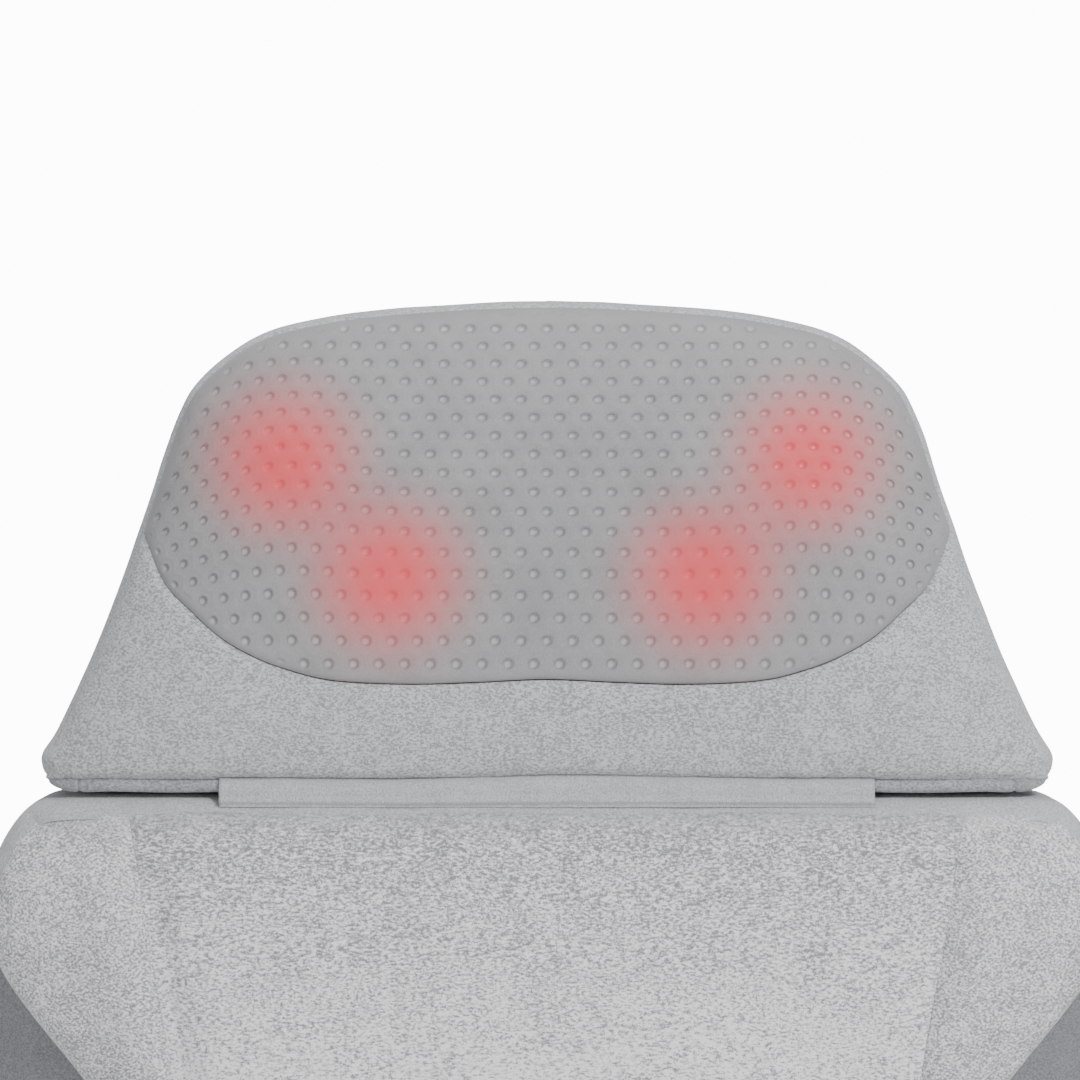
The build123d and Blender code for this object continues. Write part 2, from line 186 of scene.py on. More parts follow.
def ripple(x, z, seed, size):
    """Soft uneven waves between about -1 and 1, for cloth that isn't quite flat."""
    rng = np.random.default_rng(seed)
    total = np.zeros(np.shape(x))
    for _ in range(9):
        angle, phase = rng.uniform(0, 2 * math.pi, 2)
        wave = size * rng.uniform(0.7, 1.6)
        total += np.sin(2 * math.pi * (x * math.cos(angle) + z * math.sin(angle)) / wave + phase)
    return total / 5


# ------------------------------ mesh building
def placed(name, data):
    """New object in the scene."""
    obj = bpy.data.objects.new(name, data)
    bpy.context.scene.collection.objects.link(obj)
    return obj


def new_object(name, verts, faces, material):
    """Smooth-shaded mesh object from points in millimetres."""
    mesh = bpy.data.meshes.new(name)
    points = [tuple(v) for v in np.asarray(verts, float) * MM]
    mesh.from_pydata(points, [], [tuple(map(int, f)) for f in faces])
    mesh.validate()
    mesh.update()
    mesh.polygons.foreach_set("use_smooth", [True] * len(mesh.polygons))
    mesh.materials.append(material)
    return placed(name, mesh)


def grid_faces(rows, columns, wrap=False, flip=False):
    """Quads of a grid of points; wrap joins the last column to the first."""
    r = np.arange(rows - 1)
    c = np.arange(columns if wrap else columns - 1)
    r, c = np.meshgrid(r, c, indexing="ij")
    n = (c + 1) % columns
    quads = np.stack([r * columns + c, r * columns + n, (r + 1) * columns + n, (r + 1) * columns + c], -1)
    quads = quads.reshape(-1, 4)
    return quads[:, ::-1] if flip else quads


def grid_object(name, points, material, wrap=False, flip=False):
    rows, columns = points.shape[:2]
    return new_object(name, points.reshape(-1, 3), grid_faces(rows, columns, wrap, flip), material)


def tuck(points, depth, inward):
    """Adds a turned-in hem behind all four edges of a grid: depth back along Y, drawn in a little."""
    middle = points.reshape(-1, 3).mean(0)

    def hem(line):
        towards = middle - line
        towards[:, 1] = 0
        towards /= np.linalg.norm(towards, axis=1)[:, None] + 1e-9
        return line + towards * inward + np.array([0, depth, 0])

    rows = np.concatenate([hem(points[0])[None], points, hem(points[-1])[None]])
    left, right = hem(rows[:, 0]), hem(rows[:, -1])
    return np.concatenate([left[:, None], rows, right[:, None]], axis=1)


# ------------------------------ materials
def feed(tree, node, *first, **named):
    """Puts values or other nodes' outputs into a node's first sockets, and into those it is given by name.

    Underscores stand for spaces, as in Base_Color.
    """
    by_name = [(node.inputs[key.replace("_", " ")], value) for key, value in named.items()]
    for socket, value in list(zip(node.inputs, first)) + by_name:
        if isinstance(value, bpy.types.NodeSocket):
            tree.links.new(value, socket)
        elif value is not None:
            socket.default_value = value
    return node


def shader(name, **values):
    """New material, with values for the shader's own sockets."""
    material = bpy.data.materials.new(name)
    material.use_nodes = True
    tree = material.node_tree
    return material, tree, feed(tree, tree.nodes["Principled BSDF"], **values)


def add(tree, kind, *first, **values):
    """New shader node: its settings, then what goes into its sockets."""
    node = tree.nodes.new("ShaderNode" + kind)
    for key in [key for key in values if hasattr(node, key)]:
        setattr(node, key, values.pop(key))
    return feed(tree, node, *first, **values)


def noise(tree, vector, scale, detail=2.0, roughness=0.5):
    node = add(tree, "TexNoise", Vector=vector, Scale=scale, Detail=detail, Roughness=roughness)
    return node.outputs["Fac"]


def stretched(tree, scale, angle=0.0):
    """Rest-pose position, stretched and turned in the X-Z plane."""
    place = add(tree, "TexCoord").outputs["Object"]
    return add(tree, "Mapping", Vector=place, Scale=scale, Rotation=(0, angle, 0)).outputs["Vector"]


def math_node(tree, operation, a, b=None, clamp=False):
    """One sum of two values, each a number or another node's output."""
    return add(tree, "Math", a, b, operation=operation, use_clamp=clamp).outputs[0]


def times(tree, a, b):
    return math_node(tree, "MULTIPLY", a, b)


def plus(tree, a, b, clamp=False):
    return math_node(tree, "ADD", a, b, clamp)


def ramp(tree, factor, stops):
    """Colour from a value, by stops of position and colour."""
    node = add(tree, "ValToRGB", Fac=factor)
    elements = node.color_ramp.elements
    while len(elements) < len(stops):
        elements.new(0.5)
    for element, (position, colour) in zip(elements, stops):
        element.position = position
        element.color = (*colour, 1)
    return node.outputs["Color"]


def fade(tree, height, start, end, low, high):
    """Value going from low to high while the height goes from start to end, both in millimetres."""
    ends = {"From_Min": start * MM, "From_Max": end * MM, "To_Min": low, "To_Max": high}
    return add(tree, "MapRange", Value=height, **ends).outputs["Result"]


def bump(tree, bsdf, height, strength, distance_mm):
    node = add(tree, "Bump", Strength=strength, Distance=distance_mm * MM, Height=height)
    feed(tree, bsdf, Normal=node.outputs["Normal"])


FLECK_SPREAD = 0.085  # how far from the middle of the noise the darkest and lightest flecks lie
FADE_HEIGHT, FADED_SHARE = 14, 0.3  # where flecks fade out: over how many millimetres, and what is left
PAINTED_LIGHT_HEIGHT = 110  # millimetres over which painted light makes a cloth paler towards the foot


def heather(name, dark, mid, light, grain, streak, angle=0.0, contrast=1.0, smooth_above=None, painted_light=0.0):
    """Melange knit: two sizes of fibre flecks, drawn out along the streak, over a fine stitch relief.

    Above the height smooth_above, in millimetres, the flecks fade out and a painted shade darkens the cloth;
    below it painted light makes the cloth paler towards the foot.
    """
    surface = {"Roughness": 0.92, "Sheen_Weight": 0.25, "Sheen_Roughness": 0.5, "Specular_IOR_Level": 0.2}
    material, tree, bsdf = shader(name, **surface)
    long_way = stretched(tree, (1 / streak, 1 / streak, 1), angle)
    even = stretched(tree, (1, 1, 1), angle)
    flecks = noise(tree, long_way, grain, 2, 0.6)
    fine = noise(tree, even, grain * 1.9, 2, 0.6)
    cloudy = noise(tree, even, grain / 12, 2)
    mixed = plus(tree, times(tree, flecks, 0.55), times(tree, fine, 0.37))
    mixed = plus(tree, mixed, times(tree, cloudy, 0.08))
    if smooth_above is not None:
        height = add(tree, "SeparateXYZ", Vector=stretched(tree, (1, 1, 1))).outputs["Z"]
        amount = fade(tree, height, smooth_above, smooth_above - FADE_HEIGHT, FADED_SHARE, 1.0)
        part = times(tree, math_node(tree, "SUBTRACT", mixed, 0.5), amount)
        # Painted shade at the top and painted light lower down: the tone goes from darker at smooth_above to
        # paler towards the foot.
        lower = fade(tree, height, smooth_above, smooth_above - PAINTED_LIGHT_HEIGHT, -0.6 * painted_light, painted_light)
        mixed = plus(tree, plus(tree, part, 0.5), lower)
    spread = FLECK_SPREAD / contrast
    stops = [(0.5 - spread, dark), (0.5, mid), (0.5 + spread, light)]
    feed(tree, bsdf, Base_Color=ramp(tree, mixed, stops))
    bump(tree, bsdf, plus(tree, flecks, times(tree, fine, 0.7)), 0.5, 0.35)
    return material


def plastic(name, colour, roughness, grain=2600, depth=0.05):
    """Moulded plastic with spark-eroded grain and a slightly uneven tone."""
    material, tree, bsdf = shader(name)
    vector = stretched(tree, (1, 1, 1))
    tone = noise(tree, vector, 60, 3)
    darker = tuple(c * 0.86 for c in colour)
    lighter = tuple(min(c * 1.12 + 0.004, 1) for c in colour)
    feed(tree, bsdf, Base_Color=ramp(tree, tone, [(0.35, darker), (0.65, lighter)]))
    feed(tree, bsdf, Roughness=plus(tree, times(tree, noise(tree, vector, 240, 3), 0.16), roughness - 0.08))
    bump(tree, bsdf, noise(tree, vector, grain, 2), 0.35, depth)
    return material


def metal(name, colour, roughness, lines=(1, 60, 1)):
    """Plain metal with drawn or turned marks."""
    material, tree, bsdf = shader(name, Metallic=1.0)
    marks = noise(tree, stretched(tree, lines), 90, 4, 0.6)
    darker = tuple(c * 0.8 for c in colour)
    feed(tree, bsdf, Base_Color=ramp(tree, marks, [(0.3, darker), (0.7, colour)]))
    feed(tree, bsdf, Roughness=plus(tree, times(tree, marks, 0.2), roughness - 0.1))
    bump(tree, bsdf, marks, 0.15, 0.03)
    return material


GLOW_LAYERS = (50, 3.2, 0.80), (54, 2.4, 0.27)  # reach in millimetres, falling power, strength


def glow_amount(tree):
    """Light of the four node heads seen through the panel, from 0 to 1; it goes round with the arms."""
    total = None
    for side in ("left", "right"):
        place = add(tree, "TexCoord", object=frame["bodies"][side + "_arm"]).outputs["Object"]
        flat = add(tree, "VectorMath", place, (1, 0, 1), operation="MULTIPLY").outputs["Vector"]
        for level in ("upper", "lower"):
            low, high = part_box(f"{side}_{level}_node_cap")
            centre = (low + high) / 2
            away = add(tree, "VectorMath", flat, (centre.x, 0, centre.z), operation="DISTANCE")
            for reach, power, strength in GLOW_LAYERS:
                share = math_node(tree, "DIVIDE", away.outputs["Value"], reach * MM)
                fall = math_node(tree, "SUBTRACT", 1, math_node(tree, "POWER", share, 2), clamp=True)
                spot = times(tree, math_node(tree, "POWER", fall, power), strength)
                total = spot if total is None else plus(tree, total, spot, clamp=True)
    return total


PANEL_GREYS = (0.249, 0.251, 0.255), (0.316, 0.318, 0.322)
# Painted shade for a thin ring round each dimple, and a painted highlight for each dimple's middle.
DIMPLE_PAINTED_SHADE, DIMPLE_PAINTED_HIGHLIGHT = (0.13, 0.135, 0.14, 1), (0.50, 0.505, 0.51, 1)
LIT_CLOTH, LIGHT = (0.49, 0.052, 0.062, 1), (1.0, 0.07, 0.075, 1)


def mixed_colour(tree, amount, below, above):
    """The colour below goes over into a fixed colour above, by an amount."""
    return add(tree, "Mix", data_type="RGBA", Factor=amount, A=below, B=above).outputs["Result"]


def panel_material():
    """Smooth stretch mesh: fine knit, glossier dimples with painted shade round each and a painted highlight
    in its middle, and the red node light behind it.
    """
    surface = {"Sheen_Weight": 0.15, "Specular_IOR_Level": 0.4, "Emission_Color": LIGHT}
    material, tree, bsdf = shader("panel mesh", **surface)
    vector = stretched(tree, (1, 1, 1))
    knit = noise(tree, stretched(tree, (1, 1, 0.6)), 1900, 2, 0.6)
    cloudy = noise(tree, vector, 45, 3)
    tone = plus(tree, times(tree, knit, 0.6), times(tree, cloudy, 0.4))
    grey = ramp(tree, tone, list(zip((0.36, 0.64), PANEL_GREYS)))
    # Each dimple's middle is marked for a painted highlight and a glossier finish; rim marks the thin ring of
    # painted shade round it.
    dimple_gloss_and_highlight = add(tree, "Attribute", attribute_name="dimple_gloss_and_highlight").outputs["Fac"]
    rim = add(tree, "Attribute", attribute_name="rim").outputs["Fac"]
    with_painted_shade = mixed_colour(tree, times(tree, rim, 0.5), grey, DIMPLE_PAINTED_SHADE)
    with_painted_highlight = mixed_colour(tree, times(tree, dimple_gloss_and_highlight, 0.6), with_painted_shade, DIMPLE_PAINTED_HIGHLIGHT)
    glow = glow_amount(tree)
    feed(tree, bsdf, Base_Color=mixed_colour(tree, times(tree, glow, 0.9), with_painted_highlight, LIT_CLOTH))
    feed(tree, bsdf, Emission_Strength=times(tree, glow, 0.42))
    feed(tree, bsdf, Roughness=math_node(tree, "SUBTRACT", 0.62, times(tree, dimple_gloss_and_highlight, 0.27)))
    bump(tree, bsdf, knit, 0.22, 0.18)
    return material


def webbing_material():
    """Ribbed elastic webbing: cross ribs and fine edge cords."""
    material, tree, bsdf = shader("webbing", Roughness=0.85, Sheen_Weight=0.3)
    place = add(tree, "TexCoord").outputs["Object"]
    ribs = add(tree, "TexWave", Vector=place, Scale=190.0, Distortion=0.4, bands_direction="X")
    warp = add(tree, "TexWave", Vector=place, Scale=260.0, Distortion=0.6, bands_direction="Z")
    weave = times(tree, ribs.outputs["Fac"], warp.outputs["Fac"])
    tones = [(0.1, (0.02, 0.02, 0.022)), (0.9, (0.075, 0.075, 0.08))]
    feed(tree, bsdf, Base_Color=ramp(tree, weave, tones))
    bump(tree, bsdf, weave, 0.6, 0.35)
    return material


def studio_material(name, colour):
    """Even, dull paint."""
    material, tree, bsdf = shader(name, Roughness=0.9)
    tone = noise(tree, stretched(tree, (1, 1, 1)), 3)
    darker = tuple(c * 0.99 for c in colour)
    feed(tree, bsdf, Base_Color=ramp(tree, tone, [(0.3, darker), (0.7, colour)]))
    return material


# Each cloth: its dark, middle and light tones, fleck size, streak length, streak angle, contrast.
neck_cloth = heather(
    "neck heather", (0.27, 0.28, 0.29), (0.415, 0.43, 0.445), (0.56, 0.575, 0.59), 1150, 1.6, contrast=1.5
)
gusset_cloth = heather(
    "gusset heather", (0.28, 0.29, 0.30), (0.41, 0.425, 0.44), (0.55, 0.565, 0.58), 1150, 1.4
)
# Both lip cloths are darker than the neck cloth, as painted shade where the bound edge turns under.
lip_painted_shade_cloth = heather("lip heather", (0.19, 0.20, 0.21), (0.265, 0.275, 0.29), (0.34, 0.35, 0.36), 1150, 1.2)
inner_lip_painted_shade_cloth = heather(
    "inner lip heather", (0.19, 0.20, 0.21), (0.285, 0.295, 0.31), (0.39, 0.40, 0.415), 1150, 1.4
)
# A darker cloth for the cushion's lower sides and foot, its darkness partly painted shade.
side_cloth_and_painted_shade = heather(
    "cushion side cloth", (0.14, 0.145, 0.155), (0.19, 0.195, 0.205), (0.25, 0.255, 0.265), 1300, 1.2
)
flap_cloth = heather(
    "flap heather", (0.34, 0.35, 0.36), (0.43, 0.44, 0.45), (0.52, 0.53, 0.54), 1300, 0.6, contrast=2.4
)
band_cloth = heather("band heather", (0.34, 0.35, 0.36), (0.43, 0.445, 0.46), (0.53, 0.545, 0.56), 1250, 1.2)
# The centre cloth gets painted shade at its top and painted light towards its foot.
centre_cloth = heather(
    "centre heather", (0.23, 0.235, 0.245), (0.51, 0.515, 0.525), (0.86, 0.86, 0.87), 1050, 2.0,
    angle=0.04, contrast=1.2, smooth_above=213, painted_light=0.045,
)
wing_tones = (0.25, 0.255, 0.265), (0.49, 0.495, 0.505), (0.80, 0.805, 0.81)
left_cloth = heather("left wing heather", *wing_tones, 1200, 1.5, angle=-0.9, contrast=1.4, smooth_above=212)
right_cloth = heather("right wing heather", *wing_tones, 1200, 1.5, angle=0.9, contrast=1.4, smooth_above=212)
rear_cloth = heather("lining", (0.17, 0.175, 0.18), (0.23, 0.235, 0.24), (0.31, 0.315, 0.32), 1300, 1.0)
panel_mesh = panel_material()
webbing = webbing_material()
foam = plastic("foam", (0.72, 0.70, 0.64), 0.95, 700, 0.5)
thread = heather("thread", (0.30, 0.31, 0.32), (0.40, 0.41, 0.42), (0.50, 0.51, 0.52), 2600, 1.0)
zip_plastic = plastic("zip teeth", (0.10, 0.10, 0.105), 0.4)


# ------------------------------ neck unit
SEAM_INSET, BOTTOM_SEAM_INSET = 4.0, 5.3
SEAM_Y, REAR_SEAM_Y = -32.0, 32.0
SIDE_ROUND, BOTTOM_ROUND = 68.0, 42.0  # reach of the rounding beside the seams
PUFF, REAR_PUFF, TOP_LEAN = 27.2, 25.2, 10.0  # how far the cloth stands out, how far the top leans back
MOUND_X, MOUND_Z, MOUND_SIZE, MOUND_RISE = 80.0, 103.0, 36.0, 3.4  # swell over each arm
GROOVE, GROOVE_WIDTH = 1.5, 1.6  # depth and width of the groove a seam makes in the cloth
HEM = 3.0  # how far the cloth is turned in behind a seam

bell = whole(BELL, SEAM_Z, 1040)
bell_out = outward(bell)
below_seam = smooth((SEAM_Z + 2 - bell[:, 1]) / 6)  # 0 on the sides and top, 1 along the bottom
seam_inset = SEAM_INSET + (BOTTOM_SEAM_INSET - SEAM_INSET) * below_seam
seam_line = bell - bell_out * seam_inset[:, None]
crown = seam_line[seam_line[:, 1] > SEAM_Z + 5]
crown = crown[np.argsort(np.arctan2(crown[:, 0], crown[:, 1] - SEAM_Z))]
crown = np.vstack([crown[0] - (0, 60), crown, crown[-1] - (0, 60)])


def bottom_wave(x):
    """The front bottom seam rises a little in the middle, over the flap."""
    return hump(x - 12, 2.0, 42) - hump(x + 60, 0.6, 30)


def front_y(x, z):
    """Depth of the neck unit's stuffed front."""
    edge = distance(x, z, crown)
    side = rounding(edge, SIDE_ROUND)
    low = rounding(np.clip(z - SEAM_Z, 0, None), BOTTOM_ROUND)
    lean = TOP_LEAN * np.clip((z - SEAM_Z - 100) / 98, 0, 1) ** 2
    mounds = 0
    for centre in (-MOUND_X, MOUND_X):
        mounds += np.exp(-((x - centre) ** 2 + (z - SEAM_Z - MOUND_Z) ** 2) / (2 * MOUND_SIZE**2))
    return SEAM_Y + lean - PUFF * side * (0.64 + 0.36 * low) - MOUND_RISE * mounds * side


def eased(count):
    """Steps from -1 to 1, closer together near the ends."""
    t = np.linspace(-1, 1, count)
    return 0.45 * t + 0.55 * np.sin(t * math.pi / 2)


panel_tip, tip_height = PANEL_EDGE[-1]
left_edge = [(-x, SEAM_Z + z) for x, z in PANEL_EDGE[::-1]]
right_edge = [(x, SEAM_Z + z) for x, z in PANEL_EDGE[1:]]
panel_curve = through(left_edge + right_edge, 420)
right_crown = crown[(crown[:, 0] >= 0)][:-1]
right_crown = right_crown[np.argsort(right_crown[:, 0])]
tip_x = float(np.interp(SEAM_Z + tip_height, right_crown[::-1, 1], right_crown[::-1, 0]))


def panel_low_z(x):
    """Height of the dimpled panel's lower edge."""
    return height_of(panel_curve[len(panel_curve) // 2:], x * panel_tip / tip_x)


def crown_z(x):
    """Height of the neck unit's front seam along its top."""
    return height_of(right_crown, x)


DOT_PITCH, DOT_ROW = 10.5, 9.4  # between dimples in a row, and between rows


def dimples(x, z):
    """Distance to the nearest dimple of a staggered grid.

    Its rows close up towards the top, sag beside the arms and rise over them, as the cloth is drawn there.
    """
    height, side = z - SEAM_Z, np.abs(x)
    u = x * (1 + 0.10 * (side / 165) ** 4)
    t = np.clip((height - 45) / 115, 0, 1)
    closing = t**3 - t**4 / 2 + np.clip((height - 160) / 115, 0, 1)
    sag = 0.0055 * np.clip((height - 40) / 88, 0, 1.1) * np.clip(side - 105, 0, None) ** 2
    arch = 4.0 * np.exp(-(((side - 105) / 28) ** 2) - ((height - 125) / 42) ** 2)
    v = height + 33 * closing + sag - arch
    best = np.full(x.shape, 1e9)
    index = np.round(v / DOT_ROW)
    for k in (-1, 0, 1):
        row = index + k
        shift = np.where(row % 2 == 0, 0.0, 0.5)
        column = np.round(u / DOT_PITCH - shift) + shift
        best = np.minimum(best, (u - column * DOT_PITCH) ** 2 + (v - row * DOT_ROW) ** 2)
    return np.sqrt(best)


PANEL_GAP = 0.45  # shows as the fine dark line of the panel's lower seam
HOLE, BUTTON, SHOULDER, SWELL = 1.35, 0.45, 0.25, 0.40  # depths of the parts of a dimple


def make_panel():
    """Dimpled front panel; each dimple is a hole with a raised button in it, and the cloth swells between."""
    columns, rows = ((468, 206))
    s = eased(columns)
    t = np.linspace(0, 1, rows)
    x = np.tile(s * (tip_x - 0.4), (rows, 1))
    low, top = panel_low_z(x[0]) + PANEL_GAP, crown_z(x[0])
    z = low + (top - low) * t[:, None]
    y = front_y(x, z)
    edge = np.minimum(distance(x, z, crown), distance(x, z, panel_curve))
    away = dimples(x, z)
    inner = smooth((edge - 1.5) / 3.5)
    hole = smooth((2.35 - away) / 1.25)
    button = smooth((1.3 - away) / 1.1)
    shoulder = hump(away - 2.8, 1.0, 0.8)
    swell = smooth((away - 2.4) / 3.2)
    y = y + inner * (HOLE * hole - BUTTON * button - SHOULDER * shoulder - SWELL * swell)
    y = y + hump(edge, GROOVE, 1.5)
    points = tuck(np.stack([x, y, z], -1), HEM, 0.8)
    obj = grid_object("dimpled_front_panel", points, panel_mesh)
    # Marks for the shader: each dimple's middle, painted lighter as a highlight and made glossier, and a thin
    # ring round it, painted darker as shade.
    marks = {"dimple_gloss_and_highlight": smooth((1.7 - away) / 0.8), "rim": hump(away - 1.95, 1.0, 0.5)}
    for mark, amount in marks.items():
        layer = obj.data.attributes.new(mark, "FLOAT", "POINT")
        layer.data.foreach_set("value", np.pad(amount * inner, 1).astype(np.float32).ravel())
    return obj


def gathers(edge, along, reach, wave, rise):
    """Small puckers that a seam pulls into the cloth beside it."""
    return rise * np.sin(2 * math.pi * along / wave) * np.exp(-edge / reach)


def make_lower_front():
    """Plain heather below the dimpled panel, running up beside it as far as the panel's tips."""
    columns, rows = 300, 46
    reach = float(np.max(seam_line[:, 0])) - 0.6
    s = eased(columns)
    t = np.linspace(0, 1, rows)
    x = np.tile(s * reach, (rows, 1))
    inside = np.abs(x[0]) < tip_x - 0.4
    side = np.abs(x[0])
    right_side = seam_line[(seam_line[:, 0] > tip_x - 1) & (seam_line[:, 1] > SEAM_Z + 4)]
    top = np.where(inside, panel_low_z(x[0]), height_of(right_side, side))
    corner = smooth((side - (reach - 9)) / 9)
    low = SEAM_Z + bottom_wave(x[0]) + 5.0 * corner**2
    z = low + (np.maximum(top, low + 0.2) - low) * t[:, None]
    y = front_y(x, z)
    edge = np.minimum(distance(x, z, crown), distance(x, z, panel_curve))
    bottom = z - low
    y = y + hump(edge, GROOVE, GROOVE_WIDTH) + hump(bottom, 1.6, 1.5)
    y = y + gathers(bottom, x + 3 * np.sin(x / 23), 5.0, 15.0, 0.22) + 0.45 * ripple(x, z, 4, 60)
    points = tuck(np.stack([x, y, z], -1), HEM, 0.6)
    return grid_object("neck_lower_front_cloth", points, neck_cloth)


def between_seams(outline, front_line, rear_line, power, v):
    """Outline drawn in towards the front seam (v = 0) or the rear seam (v = 1)."""
    spread = np.abs(2 * v - 1) ** power
    line = front_line if v < 0.5 else rear_line
    return outline + (line - outline) * spread[:, None]


def ring_band(name, outline, out, lines, front, rear, power, rows, material, wobble=0.35, seed=1):
    """Band of cloth round an outline, from the front seam to the rear seam, swelling between them."""
    v = np.linspace(0, 1, rows)
    spread = np.abs(2 * v - 1)[:, None] ** power
    flat = np.array([between_seams(outline, *lines, power[0], share) for share in v])
    y = front + (rear - front) * v[:, None]
    along = np.arange(len(outline)) * np.linalg.norm(outline[1] - outline[0])
    swell = wobble * ripple(np.broadcast_to(along, y.shape), y, seed, 55) * (1 - spread)
    flat = flat - out[None] * (0.4 + np.abs(swell))[..., None] * (1 - spread)[..., None]
    dip = 1.2 * (hump(v, 1.0, 0.03) + hump(1 - v, 1.0, 0.03))[:, None]
    flat = flat - out[None] * dip[..., None]
    points = np.stack([flat[..., 0], y, flat[..., 1]], -1)

    def hem(row, depth):
        """The edge, turned in under its seam."""
        return row - np.stack([out[None, :, 0] * 2, np.full(y[:1].shape, depth), out[None, :, 1] * 2], -1)

    points = np.concatenate([hem(points[:1], 1.0), points, hem(points[-1:], -1.0)])
    return grid_object(name, points, material, wrap=True)


def make_neck_band():
    """Gusset round the neck unit, with its bottom: flatter across and sharper at the seams there."""
    front = front_y(seam_line[:, 0], seam_line[:, 1])[None]
    power = np.where(below_seam > 0.5, 9.0, 3.0)[None]
    rear = rear_y(seam_line[:, 0], np.maximum(seam_line[:, 1], SEAM_Z))[None]
    seams = (seam_line, seam_line)
    return ring_band("neck_gusset_cloth", bell, bell_out, seams, front, rear, power, 44, gusset_cloth)


def rear_y(x, z):
    """Depth of the neck unit's stuffed rear."""
    rise = rounding(distance(x, z, crown), 36) * (0.55 + 0.45 * rounding(z - SEAM_Z, 30))
    return REAR_SEAM_Y + REAR_PUFF * rise


def in_pod(x, z, margin):
    """True inside the control pod's outline, drawn in by a margin."""
    across = (x > POD_LOW[0] + margin) & (x < POD_HIGH[0] - margin)
    return across & (z > POD_LOW[2] + margin) & (z < POD_HIGH[2] - margin)


def make_neck_rear():
    """Rear cloth, with a cut-out for the control pod."""
    columns, rows = 190, 90
    s = eased(columns)
    t = eased(rows) / 2 + 0.5
    reach = float(np.max(seam_line[:, 0])) - 0.5
    x = np.tile(s * reach, (rows, 1))
    side = np.abs(x[0])
    top = height_of(seam_line[(seam_line[:, 0] >= 0) & (seam_line[:, 1] > SEAM_Z + 4)], side)
    low = SEAM_Z + 5.0 * smooth((side - (reach - 9)) / 9) ** 2
    z = low + (np.maximum(top, low + 0.2) - low) * t[:, None]
    edge = distance(x, z, crown)
    y = rear_y(x, z) - hump(edge, GROOVE, GROOVE_WIDTH) - hump(z - low, GROOVE, GROOVE_WIDTH)
    near_pod = smooth((np.maximum(np.abs(x - POD_MIDDLE[0]) - 30, np.abs(z - POD_MIDDLE[2]) - 15)) / 12)
    y = y + 0.5 * ripple(x, z, 12, 70) * near_pod
    points = tuck(np.stack([x, y, z], -1), -HEM, 0.6)
    rows, columns = points.shape[:2]
    faces = grid_faces(rows, columns, flip=True)
    flat = points.reshape(-1, 3)
    faces = faces[~in_pod(flat[:, 0], flat[:, 2], 0.6)[faces].all(axis=1)]
    return new_object("neck_rear_cloth", flat, faces, rear_cloth)


def swept(name, line, radii, material, sides=12):
    """Rounded bead of varying size along a line; radii are (depth, height) for each point."""
    line = np.asarray(line, float)
    tangent = np.gradient(line, axis=0)
    tangent /= np.linalg.norm(tangent, axis=1)[:, None]
    back = np.tile((0.0, 1.0, 0.0), (len(line), 1))
    up = np.cross(tangent, back)
    up /= np.linalg.norm(up, axis=1)[:, None]
    back = np.cross(up, tangent)
    turn = np.linspace(0, 2 * math.pi, sides, endpoint=False)
    rings = line[:, None] + back[:, None] * (np.cos(turn)[None, :, None] * radii[:, :1, None])
    rings = rings + up[:, None] * (np.sin(turn)[None, :, None] * radii[:, 1:2, None])
    count = len(line)
    verts = np.vstack([rings.reshape(-1, 3), line[:1], line[-1:]])
    faces = [tuple(f) for f in grid_faces(count, sides, wrap=True)]
    first, last = count * sides, count * sides + 1
    for k in range(sides):
        n = (k + 1) % sides
        faces.append((first, n, k))
        faces.append((last, (count - 1) * sides + k, (count - 1) * sides + n))
    return new_object(name, verts, faces, material)


def ring(outline, inset_x, inset_z, share=1.0):
    """The outline drawn in by different amounts across and up, then scaled towards its middle."""
    low, high = outline.min(0), outline.max(0)
    middle, half = (low + high) / 2, (high - low) / 2
    return middle + (outline - middle) * (1 - np.array([inset_x, inset_z]) / half) * share


def filling(name, rings, material, cut=None):
    """Foam body from closed rings, each an outline with its depths; rings shrunk to a point are merged."""
    rows = [np.column_stack([line[:, 0], np.broadcast_to(y, len(line)), line[:, 1]]) for line, y in rings]
    rows = np.array(rows)
    flat = rows.reshape(-1, 3)
    faces = grid_faces(rows.shape[0], rows.shape[1], wrap=True)
    if cut is not None:
        faces = faces[~cut(flat)[faces].all(axis=1)]
    obj = new_object(name, flat, faces, material)
    mesh = bmesh.new()
    mesh.from_mesh(obj.data)
    bmesh.ops.remove_doubles(mesh, verts=mesh.verts, dist=0.05 * MM)
    bmesh.ops.recalc_face_normals(mesh, faces=mesh.faces)
    mesh.to_mesh(obj.data)
    mesh.free()
    return obj


def make_neck_filling():
    """Dish of foam round the hard case, open at the front, 3 mm inside the cloth."""
    seam, outline = seam_line[::4], bell[::4]
    rings = []
    for inset in np.linspace(16, 7, 8):
        line = ring(seam, inset, inset)
        rings.append((line, front_y(line[:, 0], line[:, 1]) + 3.2))
    side = ring(outline, 9.0, 9.0)
    rings += [(side, y) for y in (-22, -10, 0, 10, 22)]
    for share in np.linspace(1, 0, 14):
        line = ring(seam, 7.0, 7.0, share)
        rings.append((line, rear_y(line[:, 0], line[:, 1]) - 3.0))
    case_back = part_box("rear_shell")[1].y / MM + 0.3
    rings += [(ring(seam, 12.5, 12.5, share), case_back) for share in np.linspace(0, 1, 10)]
    rings.append((ring(seam, 12.5, 12.5), SEAM_Y + 3))
    rings.append(rings[0])

    def behind_pod(p):
        return in_pod(p[:, 0], p[:, 2], 0.0) & (p[:, 1] > 30)

    return filling("neck_padding", rings, foam, behind_pod)


